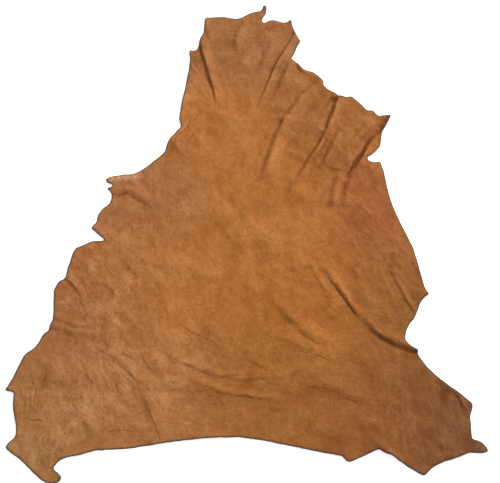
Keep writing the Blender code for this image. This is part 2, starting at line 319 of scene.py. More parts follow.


# ---- The skin: its creases ---------------------------------------------------------------------
# Fine lines that the skin kept from the animal's wrinkles and from being folded in the warehouse.
# They are pressed into the grain side only, with a slight lip, by one Geometry Nodes tree, and the
# grain is painted darker along them: painted shade in the groove, with some dirt.
# Columns: strength (1 is a sharp warehouse crease; past DEEPEST it only darkens the painted shade),
# width (1 is the tree's own), and its places.
CREASES = (
    # neck
    (0.5, 1.0, ((-7.9, 34.6), (-6.6, 33.9), (-5.4, 33.7))),
    (0.4, 1.0, ((-6.5, 37.0), (-5.5, 36.6), (-4.6, 36.7))),
    (0.9, 1.0, ((4.2, 39.9), (4.5, 38.8), (5.1, 37.5))),
    (0.6, 1.0, ((3.7, 38.2), (3.8, 37.2), (3.9, 36.2))),
    (0.6, 1.0, ((5.5, 40.6), (5.6, 39.5), (5.5, 38.3))),
    (0.4, 1.2, ((8.4, 31.8), (8.2, 31.0), (7.9, 30.1))),
    (0.5, 1.0, ((8.0, 26.0), (8.9, 25.5), (10.2, 25.4), (11.4, 25.6))),
    # shoulders
    (0.4, 1.0, ((7.8, 18.5), (8.9, 17.0), (10.2, 15.6))),
    (0.5, 1.0, ((8.0, 15.4), (8.9, 14.3), (9.6, 13.7), (10.8, 13.8), (11.8, 14.4))),
    (0.6, 1.4, ((8.1, 6.7), (8.2, 5.6), (8.5, 4.4))),
    (0.9, 1.0, ((13.9, 10.0), (15.2, 9.2), (16.6, 8.6), (18.2, 8.3))),
    (0.4, 1.0, ((16.2, 14.8), (17.2, 13.6), (18.4, 13.0), (19.4, 13.4))),
    # The next two lines are painted shade only: the soft dark valley beside the main pleat, and the
    # dark along its foot.
    (0.75, 3.0, ((16.5, 18.2), (15.6, 16.2), (14.8, 14.2), (13.9, 12.3), (13.0, 10.6),
                (12.2, 8.8), (11.4, 7.0), (10.6, 5.2))),
    (1.0, 1.6, ((16.9, 23.9), (16.5, 22.2), (15.9, 20.4), (15.2, 18.6), (14.5, 16.8))),
    # The foreleg's two lines go past DEEPEST, so the rest of their strength is painted shade under
    # the overlapping fold.
    (3.0, 1.8, ((24.4, 16.4), (22.9, 14.6), (21.6, 12.7), (20.4, 10.8), (19.4, 9.2),
                (18.5, 7.8), (17.8, 6.8))),
    (2.2, 1.5, ((22.5, 13.3), (21.6, 11.9), (20.7, 10.4), (19.8, 9.0), (18.9, 7.8))),
    (0.8, 1.6, ((18.3, 7.6), (17.8, 5.8), (17.7, 4.0), (18.7, 3.0), (20.2, 2.7))),
    (0.4, 1.0, ((1.2, 20.2), (2.0, 18.4), (2.4, 16.8))),
    (0.4, 1.0, ((2.4, 14.6), (2.9, 12.4), (3.0, 10.8))),
    (0.7, 0.8, ((-7.3, 22.5), (-8.2, 20.7), (-9.1, 18.9), (-9.9, 17.6))),
    (0.9, 0.8, ((-8.5, 17.0), (-9.4, 15.6), (-10.4, 14.1))),
    (0.7, 0.9, ((-12.4, 15.4), (-11.2, 16.2), (-10.3, 17.3), (-9.9, 18.4))),
    (0.6, 1.0, ((-13.3, 13.0), (-12.4, 12.9), (-11.7, 13.3))),
    (0.4, 1.2, ((-10.5, 8.3), (-10.4, 6.8), (-10.1, 5.4))),
    (0.4, 1.0, ((-5.5, 4.8), (-6.0, 2.8), (-6.5, 0.5))),
    # left foreleg and flank
    (1.7, 0.9, ((-24.4, 3.9), (-23.3, 3.8), (-22.3, 3.7), (-21.4, 3.75), (-20.6, 4.1),
                (-19.4, 4.5))),
    (0.5, 1.2, ((-20.9, 3.4), (-19.4, 3.1), (-17.9, 2.1), (-16.3, 1.0))),
    (0.5, 0.9, ((-25.0, -8.5), (-23.4, -9.6), (-22.4, -10.6), (-21.4, -11.5), (-20.0, -12.5),
                (-18.6, -13.8), (-17.8, -14.8))),
    (0.3, 0.9, ((-18.4, -7.0), (-18.9, -8.5), (-19.6, -9.8))),
    (0.3, 1.0, ((-19.4, -12.0), (-18.3, -11.7), (-17.2, -12.2))),
    (0.4, 1.0, ((-20.6, -16.8), (-21.1, -18.0), (-21.5, -19.5))),
    (0.5, 1.0, ((-21.2, -20.6), (-21.7, -21.6), (-21.9, -22.8), (-22.6, -24.6))),
    (0.4, 1.0, ((-27.9, -16.6), (-28.3, -18.2), (-28.6, -19.6))),
    (0.3, 1.0, ((-24.4, -16.2), (-25.2, -17.4), (-26.6, -18.4))),
    (0.4, 1.0, ((-20.2, -18.2), (-19.0, -18.9), (-17.8, -19.2))),
    (0.3, 1.0, ((-19.0, -20.6), (-17.8, -21.1), (-16.8, -20.6))),
    (0.8, 0.9, ((-20.1, -23.8), (-18.9, -24.7), (-17.6, -25.6))),
    (0.5, 0.9, ((-19.6, -23.5), (-18.2, -24.5), (-16.5, -25.4), (-15.2, -25.9))),
    (0.5, 0.9, ((-10.2, -18.1), (-8.6, -17.0), (-7.0, -16.2), (-4.8, -15.4))),
    (0.9, 0.9, ((-10.7, -19.1), (-9.8, -20.0), (-8.0, -21.0), (-6.3, -21.9), (-4.4, -22.9),
                (-2.6, -23.8))),
    (0.4, 0.8, ((-6.3, -7.5), (-5.0, -8.6), (-3.7, -9.5))),
    (0.4, 0.8, ((-6.0, -8.2), (-4.9, -9.2), (-3.8, -10.2))),
    (0.3, 1.0, ((-15.6, -16.4), (-14.4, -17.8), (-13.2, -18.8))),
    (0.3, 1.0, ((-8.6, -13.6), (-7.8, -14.4), (-7.0, -14.2))),
    # rump
    (0.7, 0.9, ((-22.2, -25.0), (-20.5, -26.0), (-19.0, -27.1), (-17.6, -28.2), (-16.5, -29.5),
                (-15.8, -30.9))),
    (1.0, 0.9, ((-15.6, -31.6), (-15.1, -32.8), (-14.5, -34.3), (-13.5, -36.3), (-12.9, -37.8),
                (-12.6, -38.9))),
    (0.5, 1.0, ((-19.4, -30.4), (-17.6, -30.0), (-15.4, -30.2), (-13.2, -30.1), (-11.2, -29.4),
                (-9.4, -28.8), (-7.6, -28.7))),
    (0.4, 0.9, ((-15.6, -30.6), (-14.0, -31.8), (-12.9, -32.8), (-12.0, -33.8))),
    (0.6, 1.1, ((-7.7, -27.1), (-6.2, -27.6), (-4.5, -28.3), (-2.0, -27.9), (-0.4, -27.8),
                (1.0, -28.1))),
    (0.4, 0.9, ((-11.9, -24.8), (-10.4, -25.6), (-8.8, -26.2))),
    (0.6, 0.9, ((0.8, -25.1), (2.0, -26.0), (3.5, -27.0), (5.0, -27.9), (6.4, -28.7),
                (7.8, -29.5))),
    (0.5, 0.9, ((3.0, -33.4), (5.0, -33.3), (7.0, -33.2), (8.9, -33.7))),
    (0.3, 1.0, ((3.0, -34.6), (4.6, -34.6), (6.0, -34.4))),
    (0.7, 0.9, ((6.9, -23.3), (8.0, -23.9), (10.0, -24.2), (12.2, -24.8), (13.7, -25.5),
                (15.2, -26.4))),
    (0.9, 0.9, ((8.5, -20.2), (10.0, -21.4), (11.4, -22.4), (12.9, -23.3))),
    (0.4, 1.2, ((9.3, -30.0), (11.0, -29.6), (13.0, -29.3), (14.6, -30.0))),
    (0.5, 1.3, ((15.6, -31.2), (16.9, -31.8), (18.6, -32.5))),
    (0.7, 0.9, ((-22.2, -36.5), (-20.4, -36.5), (-18.2, -36.5), (-16.6, -36.9))),
    (0.8, 0.9, ((-27.4, -32.4), (-26.2, -33.4), (-24.9, -34.1))),
    # left shank
    (1.2, 0.9, ((-34.4, -34.6), (-33.2, -34.8), (-32.0, -34.9), (-30.6, -35.0))),
    (0.7, 0.9, ((-34.9, -29.4), (-34.6, -31.2), (-34.4, -33.2), (-34.6, -35.0))),
    (0.4, 0.8, ((-34.1, -29.6), (-33.7, -32.0), (-33.8, -33.8))),
    (0.4, 0.8, ((-35.6, -30.4), (-35.3, -32.0), (-35.2, -33.6), (-35.4, -35.2))),
    (0.7, 0.9, ((-33.2, -28.8), (-33.0, -31.0), (-33.1, -32.6))),
    (0.7, 0.9, ((-31.6, -26.4), (-31.9, -28.6), (-32.4, -30.8))),
    (0.3, 1.0, ((-28.8, -30.6), (-27.4, -31.6), (-25.8, -31.4), (-24.0, -31.6))),
    (0.3, 1.0, ((-24.4, -30.4), (-23.2, -30.9), (-21.6, -30.6))),
    (0.4, 0.9, ((-26.4, -35.4), (-25.6, -34.6), (-24.8, -34.2))),
    (0.3, 1.0, ((-32.6, -37.2), (-31.4, -38.4), (-30.0, -38.8))),
    # right flank and hind leg
    (0.4, 1.0, ((18.4, -1.8), (19.4, -2.6), (20.6, -3.4), (22.0, -4.2))),
    (0.4, 0.9, ((19.1, -3.8), (20.0, -4.6), (20.8, -5.8))),
    (0.4, 1.0, ((23.7, -0.3), (24.2, -1.6), (24.4, -3.0))),
    (0.4, 1.0, ((10.7, -8.9), (11.4, -10.7), (12.7, -13.0))),
    (0.4, 1.0, ((12.3, -14.0), (14.2, -16.5), (16.5, -18.3))),
    (0.5, 1.0, ((18.4, -18.4), (19.4, -18.0), (20.0, -17.4))),
    (1.0, 1.1, ((20.4, -17.4), (21.4, -18.9), (22.9, -20.8), (24.4, -22.0), (26.1, -23.1),
                (27.6, -23.7))),
    (0.9, 1.1, ((13.8, -10.9), (15.4, -13.4), (17.0, -15.6), (18.2, -17.4), (19.4, -19.2))),
    (0.3, 1.0, ((20.2, -10.4), (21.0, -12.0), (21.2, -13.6))),
    (0.3, 1.0, ((33.0, -31.6), (34.2, -32.4), (34.9, -33.8))),
    (0.3, 1.0, ((23.2, -33.8), (23.8, -35.6), (24.0, -37.2))),
    (0.3, 1.0, ((26.2, -36.0), (26.4, -37.6), (26.0, -39.2))),
)
CREASE_ROWS = (-0.24, -0.13, -0.06, 0.0, 0.06, 0.13, 0.24)      # surface points beside a crease
CREASE_FADE = 0.3           # share of a crease's length over which each end fades
CREASE_WANDER = (0.18, 0.9)     # how far a crease strays from its places, and over what length
CREASE_SEEDS = (7.7, 8.8)   # which of many ways it strays, across and along

crease_lines = []
for _, _, places in CREASES:
    line = through(places, 0.2)
    far, length = CREASE_WANDER
    stray = [[noise.noise((x / length, y / length, seed)) for seed in CREASE_SEEDS]
             for x, y in line]
    crease_lines.append(line + far * np.array(stray))
crease_mesh = bpy.data.meshes.new("chalked creases")
crease_ends = np.cumsum([0] + [len(line) for line in crease_lines])
crease_mesh.from_pydata(
    [(x * CM, y * CM, 0) for line in crease_lines for x, y in line],
    [(k, k + 1) for a, b in zip(crease_ends, crease_ends[1:]) for k in range(a, b - 1)],
    [],
)
strengths, widths = [], []
for (strength, width, _), line in zip(CREASES, crease_lines):
    share = np.linspace(0, 1, len(line))
    strengths.append(strength * (ease(share / CREASE_FADE) * ease((1 - share) / CREASE_FADE)))
    widths.append(np.full(len(line), width))
for name, values in (("strength", strengths), ("width", widths)):
    layer = crease_mesh.attributes.new(name, "FLOAT", "POINT")
    layer.data.foreach_set("value", np.concatenate(values))
chalk = bpy.data.objects.new("chalked creases", crease_mesh)
bpy.context.scene.collection.objects.link(chalk)

# ---- The skin: its surface ---------------------------------------------------------------------
# Two skins of points, the grain side close together and the flesh side farther apart, stand a
# thickness apart.  The knife was held at a slant, so the cut shows from above as a thin line.
THICKNESS = 0.15
BEVEL = 0.12                # the slanting cut, as seen from above
BEVEL_DROP = 0.07           # how far down the slant goes before the cut turns upright
FOOT_ROUND = 0.03           # the flesh side's corner
GRAIN_STEP, GRAIN_LEAST = 0.32, 0.07        # usual and least spacing of the grain side's points
FLESH_STEP, FLESH_LEAST = 0.80, 0.085       # and of the flesh side's
CLEARANCE = 0.62            # share of the usual spacing that keeps the lattice off the rows
ROWS_BEFORE = (-0.35, -0.15, -0.05)                             # beside a foot line, cm
ROWS_ON_FACE = (0.0, 0.14, 0.28, 0.4, 0.52, 0.64, 0.78, 0.92)   # shares of the face
ROWS_BEHIND = (0.02, 0.14, 0.3, 0.52, 0.78, 1.08)               # past the crest, cm
EDGE_GAP = 0.13             # no surface point lies nearer the cut edge
FULLY_INLAND = 0.3          # creases and wrinkles reach their full depth this far in


def offset_line(line, distance):
    """A line moved to its left by a distance."""
    along = np.gradient(line, axis=0)
    along /= np.linalg.norm(along, axis=1)[:, None]
    return line + distance * np.column_stack((-along[:, 1], along[:, 0]))


def lattice(step):
    """Staggered places that cover the skin's box."""
    low, high = cut_edge.min(axis=0), cut_edge.max(axis=0)
    rows = np.arange(low[1], high[1], step * 3**0.5 / 2)
    spots = []
    for number, y in enumerate(rows):
        x = np.arange(low[0] + step * (number % 2) / 2, high[0], step)
        spots.append(np.column_stack((x, np.full_like(x, y))))
    return np.vstack(spots)


def spaced(first, more, gap):
    """The first places, and those of the others that lie at least a gap from them all."""
    tree = kdtree.KDTree(len(first))
    for number, (x, y) in enumerate(first):
        tree.insert((x, y, 0), number)
    tree.balance()
    clear = [tree.find((x, y, 0))[2] > gap for x, y in more]
    return np.vstack((first, more[clear]))


def one_each(places, size):
    """Places, with only the first kept in each square of a fine net."""
    _, first = np.unique(np.floor(places / size), axis=0, return_index=True)
    return places[np.sort(first)]


pleat_rows = []
for pleat, line in zip(PLEATS, pleat_lines):
    offsets = (*ROWS_BEFORE, *(share * pleat[1] for share in ROWS_ON_FACE),
               *(pleat[1] + past for past in ROWS_BEHIND))
    pleat_rows += [offset_line(line, pleat[0] * distance) for distance in offsets]
crease_rows = [offset_line(line, distance) for line in crease_lines for distance in CREASE_ROWS]
rim = cut_edge - cut_outwards * BEVEL


def surface(rows, step, least):
    """One side of the skin, flat: its plan places, the rim's first, and its triangles."""
    points = one_each(np.vstack(rows), least)
    points = spaced(rim, points, EDGE_GAP)
    points = spaced(points, lattice(step), step * CLEARANCE)
    ring = list(range(len(rim)))
    places, _, faces, sources, _, _ = delaunay_2d_cdt(
        [Vector(point) for point in points], [], [ring], 1, 1e-5)
    home = {source: new for new, origins in enumerate(sources) for source in origins}
    used = sorted({corner for face in faces for corner in face} - {home[k] for k in ring})
    order = [home[k] for k in ring] + used
    renumbered = {old: new for new, old in enumerate(order)}
    flat = np.array([places[old] for old in order])
    return flat, np.array([[renumbered[corner] for corner in face] for face in faces])


def normals(points, faces):
    """Unit normals at the points of a triangle mesh."""
    a, b, c = (points[faces[:, k]] for k in range(3))
    total = np.zeros_like(points)
    for k in range(3):
        np.add.at(total, faces[:, k], np.cross(b - a, c - a))
    return total / np.linalg.norm(total, axis=1)[:, None]


grain_flat, grain_faces = surface(pleat_rows + crease_rows, GRAIN_STEP, GRAIN_LEAST)
flesh_flat, flesh_faces = surface(pleat_rows, FLESH_STEP, FLESH_LEAST)
middle, crest, foot, to_edge = drape(grain_flat)
grain_points = middle + normals(middle, grain_faces) * THICKNESS / 2
middle = drape(flesh_flat)[0]
flesh_points = middle - normals(middle, flesh_faces) * THICKNESS / 2
grain_points[:, 2] += THICKNESS / 2
flesh_points[:, 2] = np.maximum(0, flesh_points[:, 2] + THICKNESS / 2)

count = len(rim)
outwards = np.column_stack((cut_outwards, np.zeros(count)))
slant = grain_points[:count] + outwards * BEVEL - (0, 0, BEVEL_DROP)
heel = flesh_points[:count] + outwards * (BEVEL - FOOT_ROUND) + (0, 0, FOOT_ROUND)
points = np.vstack((grain_points, slant, heel, flesh_points))
starts = (0, len(grain_points), len(grain_points) + count, len(grain_points) + 2 * count)
walls = []
for upper, lower in zip(starts, starts[1:]):
    for k in range(count):
        following = (k + 1) % count
        walls.append((upper + k, lower + k, lower + following))
        walls.append((upper + k, lower + following, upper + following))
faces = np.vstack((grain_faces, walls, flesh_faces[:, ::-1] + starts[3]))
skin_mesh = bpy.data.meshes.new("skin before creasing")
skin_mesh.from_pydata(points * CM, [], faces.tolist())

# The finish differs over the skin: the dye took redder on the left side.  The swatches also run
# paler on the left, most at the left shank, and darker at the right flank and shank, partly from
# the dye and partly as painted light where the light fell off across the skin.
# Columns: across, along, and the colour there as a swatch, dye and painted light together, 0 to
# 255.
TONES = (
    (0, 36, 155, 100, 55),      # neck
    (-5, 17, 175, 110, 55),     # withers
    (18, 17, 155, 95, 45),      # right shoulder
    (-18, 5, 165, 105, 60),     # left foreleg
    (4, 2, 175, 110, 50),       # back
    (25, 2, 155, 90, 45),       # right flank, in front
    (-14, -12, 180, 115, 60),   # left belly
    (12, -16, 170, 105, 45),    # right belly
    (28, -16, 145, 90, 40),     # right flank, behind
    (-30, -20, 165, 105, 60),   # left flank
    (-16, -34, 175, 115, 65),   # left of the rump
    (6, -34, 160, 100, 45),     # rump
    (21, -35, 150, 90, 45),     # right of the rump
    (-33, -40, 175, 120, 70),   # left shank
    (33, -35, 120, 75, 40),     # right shank
)
TONE_REACH = 9.0            # how far a swatch counts before the next one takes over, cm
DYE_DEPTH = 0.895           # the dye is this much deeper than the swatches, seen under a lamp

# Where the loose skin is drawn into soft wrinkles.  Columns: across, along, reach, amount, and
# which of the DRAWN directions the wrinkles run in.
DRAWN = (0, 90, 55, -55)    # degrees from straight across, anticlockwise
PULLS = (
    (-24, -13, 7, 1.0, 3), (-19, -8, 7, 0.6, 3), (-27, -18, 7, 0.6, 0), (-22, -22, 6, 0.8, 1),
    (-21, -29, 8, 1.0, 3), (-34, -31, 4, 1.0, 1), (-30, -38, 6, 1.0, 2), (-28, -29, 6, 0.7, 1),
    (-10, -30, 8, 0.6, 0), (-8, -22, 6, 0.5, 3), (3, -29, 7, 0.6, 0), (13, -27, 7, 0.5, 0),
    (15, -35, 8, 0.4, 0), (25, -34, 6, 0.8, 1), (31, -37, 6, 0.9, 1), (33, -31, 4, 0.8, 2),
    (0, 37, 8, 0.5, 0), (4, 34, 6, 0.6, 2), (-8, 26, 6, 0.5, 3), (-11, 16, 5, 0.9, 2),
    (8, 27, 6, 0.5, 2), (12, 18, 8, 0.7, 2), (19, 15, 6, 0.8, 3), (22, 10, 6, 0.7, 2),
    (17, 5, 6, 0.8, 2), (21, -2, 6, 0.7, 3), (25, -10, 7, 0.8, 3), (15, -12, 6, 0.5, 3),
    (-20, 6, 6, 0.5, 3), (-23, -2, 5, 0.6, 2), (-14, 3, 6, 0.4, 3), (2, 14, 8, 0.4, 2),
    (-4, 0, 8, 0.25, 3), (6, -8, 9, 0.3, 3),
)

# Where the finish is darker: painted shade in hollows, rolled edges and under folds, and grease
# stains from handling.  Columns: across, along, reach, strength.
SHADE_AND_STAINS = (
    (31.8, -31.1, 1.0, 1.3), (32.3, -30.2, 0.8, 1.2), (16.8, 23.1, 0.6, 3.2),
    (-13.2, 13.0, 1.0, 0.6), (26.9, 19.5, 0.6, 3.0), (26.2, 18.4, 0.6, 3.2),
    (25.5, 17.3, 0.6, 2.6), (24.7, 16.3, 0.7, 1.4), (26.0, -23.2, 1.0, 0.5),
    (24.0, -22.4, 0.9, 0.5), (28.0, -24.0, 0.8, 0.6), (21.4, -39.2, 0.6, 0.8),
    (-8.6, 34.2, 0.6, 0.7), (-3.2, 35.4, 1.4, 0.5), (13.6, 21.8, 1.2, 0.3),
    (14.4, 9.4, 1.4, 0.3), (-28.0, -43.2, 0.7, 0.7), (-25.0, -37.6, 2.4, 0.3),
    (-5.0, -31.6, 2.4, 0.35), (19.0, -1.0, 2.0, 0.2), (12.6, -31.0, 2.6, 0.25),
    (-32.6, -20.3, 0.6, 1.2), (-30.4, -11.4, 0.5, 1.2), (28.9, -24.4, 0.6, 1.0),
    (30.4, -26.4, 0.8, 0.7), (31.8, -28.6, 0.9, 0.7), (-27.6, -39.6, 1.6, 0.7),
    (-9.4, 31.6, 1.0, 0.7), (-8.9, 34.6, 0.7, 1.0), (-8.6, 36.4, 0.6, 0.9),
    (14.6, 24.4, 1.0, 0.6), (26.6, -24.6, 1.0, 0.4),
)

# Where the finish is scuffed to a paler brown, as along the left foreleg, and where it never
# took and the tan's own pale grey shows, at the tips.  Columns: across, along, reach, strength.
SCUFFS = (
    (-23.4, 7.3, 1.0, 0.8), (-22.2, 7.2, 1.0, 0.8), (-21.0, 7.3, 1.0, 0.8),
    (-19.8, 7.4, 1.0, 0.75), (-18.6, 7.8, 0.9, 0.6), (-17.2, 8.6, 0.8, 0.4),
    (37.0, -39.2, 0.9, 0.35), (-24.9, 0.9, 0.6, 0.3), (-30.0, -39.6, 3.0, 0.3),
    (-24.0, -31.5, 3.0, 0.2), (24.8, 8.4, 0.8, 0.2), (13.0, 10.6, 1.4, 0.2),
    (-10.0, 1.6, 1.6, 0.2), (22.6, 19.6, 1.4, 0.15),
)
BARE = (
    (-36.6, -38.9, 0.9, 1.0), (-24.6, 6.6, 0.5, 0.8), (-24.0, 5.2, 0.4, 0.6),
    (-38.0, -30.4, 0.6, 0.6), (-26.6, -2.7, 0.5, 0.6), (4.1, 44.3, 0.6, 0.7),
    (-10.6, 33.2, 0.4, 0.5), (37.9, -39.7, 0.6, 0.7), (10.8, 35.6, 0.4, 0.5),
    (31.0, -14.8, 0.4, 0.4), (28.4, -23.9, 0.4, 0.6), (-27.6, -43.6, 0.5, 0.6),
)


def linear(swatch):
    """A swatch colour, 0 to 255, as light."""
    share = np.array(swatch) / 255
    return np.where(share > 0.04045, ((share + 0.055) / 1.055) ** 2.4, share / 12.92)


def patches(table, flat):
    """How strongly round patches cover plan places, 0 to 1."""
    cover = np.zeros(len(flat))
    for across, along, reach, strength in table:
        away = np.hypot(flat[:, 0] - across, flat[:, 1] - along)
        cover = np.maximum(cover, strength * np.exp(-(away / reach) ** 2))
    return cover


flat = np.vstack((grain_flat, cut_edge, cut_edge, flesh_flat))
weights = [np.exp(-((flat - row[:2]) ** 2).sum(axis=1) / TONE_REACH**2) for row in TONES]
tones = sum(np.outer(weight, linear(row[2:])) for weight, row in zip(weights, TONES))
tones /= sum(weights)[:, None]
on_grain = np.zeros(len(flat))
on_grain[:len(grain_flat)] = np.clip(to_edge / FULLY_INLAND, 0, 1)
inland, ridge, tuck = np.zeros((3, len(flat)))
inland[:len(grain_flat)], ridge[:len(grain_flat)], tuck[:len(grain_flat)] = to_edge, crest, foot
for name, kind, values in (
    ("flat", "FLOAT_VECTOR", np.column_stack((flat * CM, np.zeros(len(flat))))),
    ("tone", "FLOAT_COLOR", np.column_stack((tones, np.ones(len(flat))))),
    ("on_grain", "FLOAT", on_grain), ("inland", "FLOAT", inland), ("ridge", "FLOAT", ridge),
    ("tuck", "FLOAT", tuck), ("scuff", "FLOAT", patches(SCUFFS, flat)),
    ("bare", "FLOAT", patches(BARE, flat)), ("stain", "FLOAT", patches(SHADE_AND_STAINS, flat)),
    *((f"pull {turn}", "FLOAT", patches([row[:4] for row in PULLS if row[4] == turn], flat))
      for turn in range(len(DRAWN))),
):
    layer = skin_mesh.attributes.new(name, kind, "POINT")
    field = {"FLOAT": "value", "FLOAT_VECTOR": "vector", "FLOAT_COLOR": "color"}[kind]
    layer.data.foreach_set(field, values.ravel())
side = skin_mesh.attributes.new("side", "INT", "FACE")
side.data.foreach_set("value", np.repeat((0, 1, 2), (len(grain_faces), len(walls),
                                                     len(flesh_faces))))

# ---- The skin: its finish ----------------------------------------------------------------------
# Three leathers: the buffed grain side, the knife's cut and the napped flesh side.  Each is made
# of noise, wrinkles and the tables above, worked out in the object's own coordinates.


class Signal:
    """A value in a node tree.  Arithmetic on signals adds Math nodes to the tree."""

    def __init__(self, socket):
        self.socket = socket

    def __getitem__(self, name):
        """Another output of the same node."""
        return Signal(next(s for s in self.socket.node.outputs if s.name == name and s.enabled))

    def math(self, operation, *values):
        tree = Tree(self.socket.id_data)
        return tree.add("ShaderNodeMath", {"operation": operation}, dict(enumerate(values)))

    def __add__(self, other):
        return self.math("ADD", self, other)

    def __sub__(self, other):
        return self.math("SUBTRACT", self, other)

    def __rsub__(self, other):
        return self.math("SUBTRACT", other, self)

    def __mul__(self, other):
        return self.math("MULTIPLY", self, other)

    def __truediv__(self, other):
        return self.math("DIVIDE", self, other)

    def __rtruediv__(self, other):
        return self.math("DIVIDE", other, self)

    def __neg__(self):
        return self.math("MULTIPLY", self, -1)

    def __abs__(self):
        return self.math("ABSOLUTE", self)

    __radd__, __rmul__ = __add__, __mul__


class Tree:
    """A node tree that nodes are added to."""

    def __init__(self, nodes_and_links):
        self.tree = nodes_and_links

    def add(self, kind, settings=None, inputs=None, output=0):
        """A new node of a kind: its settings are made first, then its inputs' values or links.
        Inputs and the output go by number, or by name among those that the settings leave on."""
        node = self.tree.nodes.new(kind)
        for name, value in (settings or {}).items():
            if name == "stops":
                ramp = node.color_ramp.elements
                while len(ramp) < len(value):
                    ramp.new(0.5)
                for stop, (position, colour) in zip(ramp, value):
                    stop.position, stop.color = position, colour
            else:
                setattr(node, name, value)
        for name, value in (inputs or {}).items():
            socket = self.pick(node.inputs, name)
            if isinstance(value, Signal):
                self.tree.links.new(value.socket, socket)
            else:
                socket.default_value = value
        return Signal(self.pick(node.outputs, output)) if node.outputs else node

    @staticmethod
    def pick(sockets, name):
        if isinstance(name, int):
            return sockets[name]
        return next(socket for socket in sockets if socket.name == name and socket.enabled)


def leather(name):
    """A new material: its tree, emptied, and the object's own coordinates in it."""
    material = bpy.data.materials.new(name)
    material.use_nodes = True
    material.node_tree.nodes.clear()
    tree = Tree(material.node_tree)
    return material, tree, tree.add("ShaderNodeTexCoord", output="Object")


def grains(tree, place, size, detail=3.0, roughness=0.55, warp=0.0):
    """Cloudy noise whose lumps are about a size across, in metres, from 0 to 1."""
    return tree.add("ShaderNodeTexNoise", None, {
        "Vector": place, "Scale": 1 / size, "Detail": detail, "Roughness": roughness,
        "Distortion": warp})


def drawn_out(tree, place, turn, stretch):
    """Coordinates in which noise comes out drawn into streaks that run turn degrees from
    straight across."""
    turned = tree.add("ShaderNodeVectorRotate", {"rotation_type": "Z_AXIS", "invert": True},
                      {"Vector": place, "Angle": radians(turn)})
    return tree.add("ShaderNodeVectorMath", {"operation": "MULTIPLY"},
                    {0: turned, 1: (1 / stretch, 1, 1)}, "Vector")


def between(tree, value, low, high):
    """A soft step of a value from 0 at low to 1 at high."""
    return tree.add("ShaderNodeMapRange", {"interpolation_type": "SMOOTHSTEP"},
                    {"Value": value, "From Min": low, "From Max": high})


def blend(tree, share, first, second, how="MIX"):
    """Two colours mixed by a share."""
    return tree.add("ShaderNodeMix", {"data_type": "RGBA", "blend_type": how},
                    {"Factor": share, "A": first, "B": second}, "Result")


def lit(tree, colour, light):
    """A colour made lighter or darker by a number."""
    return tree.add("ShaderNodeVectorMath", {"operation": "SCALE"},
                    {"Vector": colour, "Scale": light}, "Vector")


def finish(tree, colour, roughness, bumps, constants):
    """The leather's shader, with its bumps given as (height, depth in metres)."""
    normal = None
    for height, depth in bumps:
        inputs = {"Height": height, "Distance": depth}
        if normal:
            inputs["Normal"] = normal
        normal = tree.add("ShaderNodeBump", None, inputs)
    shader = tree.add("ShaderNodeBsdfPrincipled", None, {
        "Base Color": colour, "Roughness": roughness, "Normal": normal, **constants})
    tree.add("ShaderNodeOutputMaterial", None, {"Surface": shader})


# The grain side: a matt, buffed finish with dye that took unevenly, over pores, hair-fine
# wrinkles and the pressed creases.  The crests of the folds are paler from wear and a painted
# highlight, and painted shade darkens the folds' faces, the creases, hollows and a rim along the
# cut, among real grease stains.
PALEST, SOFTLY = 0.30, 0.3                      # the buffed patches go no paler, and ease into it
DYE = {"Red": 0.75, "Green": 1.15, "Blue": 1.9}     # how fast each light falls as dye thickens
SCUFFED, UNDYED = (0.62, 0.37, 0.20, 1), (0.25, 0.185, 0.13, 1)
RIM_SHADE, RIM_SHADE_FROM, RIM_SHADE_TO = (0.07, 0.048, 0.034, 1), 0.06, 0.36    # the rim's painted shade, and its span, cm from the cut
grain_leather, tree, place = leather("buffed grain")
tone = tree.add("ShaderNodeAttribute", {"attribute_name": "tone"}, output="Color")
crease, ridge, tuck, inland, scuff, bare, stain, wrinkle = (
    tree.add("ShaderNodeAttribute", {"attribute_name": name}, output="Fac")
    for name in ("crease", "ridge", "tuck", "inland", "scuff", "bare", "stain", "wrinkle"))
cloud = grains(tree, place, 0.10, 3)
mottle = grains(tree, place, 0.040, 3, 0.55, 0.6)
blotch = grains(tree, place, 0.018, 4, 0.6, 0.5)
fleck = grains(tree, place, 0.0055, 3, 0.6)
pore = grains(tree, place, 0.0016, 2, 0.7)

# hair-fine wrinkles: a broken net, and strands that follow the way the skin was drawn
bent = tree.add("ShaderNodeTexNoise", None, {"Vector": place, "Scale": 24, "Detail": 3},
                "Color")
bent = tree.add("ShaderNodeVectorMath", {"operation": "MULTIPLY_ADD"},
                {0: bent, 1: (0.02, 0.02, 0.0), 2: place}, "Vector")
cells = tree.add("ShaderNodeTexVoronoi", {"feature": "DISTANCE_TO_EDGE"},
                 {"Vector": bent, "Scale": 42}, "Distance")
net = (1 - between(tree, cells, 0.0, 0.14)) * between(tree, mottle, 0.47, 0.66)
dark_strands = pale_strands = loose = 0
for number, turn in enumerate(DRAWN):
    pull = tree.add("ShaderNodeAttribute", {"attribute_name": f"pull {number}"}, output="Fac")
    loose = pull + loose
    streaky = drawn_out(tree, bent, turn, 3)
    dark = 1 - between(tree, abs(grains(tree, streaky, 0.014, 3, 0.5) - 0.5), 0.0, 0.055)
    pale = 1 - between(tree, abs(grains(tree, streaky, 0.010, 2, 0.5) - 0.5), 0.0, 0.06)
    dark_strands = dark * (pull * 0.8 + 0.1) + dark_strands
    pale_strands = pale * (pull * 0.8 + 0.1) + pale_strands
dark_strands = dark_strands * between(tree, blotch, 0.40, 0.56)
pale_strands = pale_strands * between(tree, 1 - blotch, 0.42, 0.60)

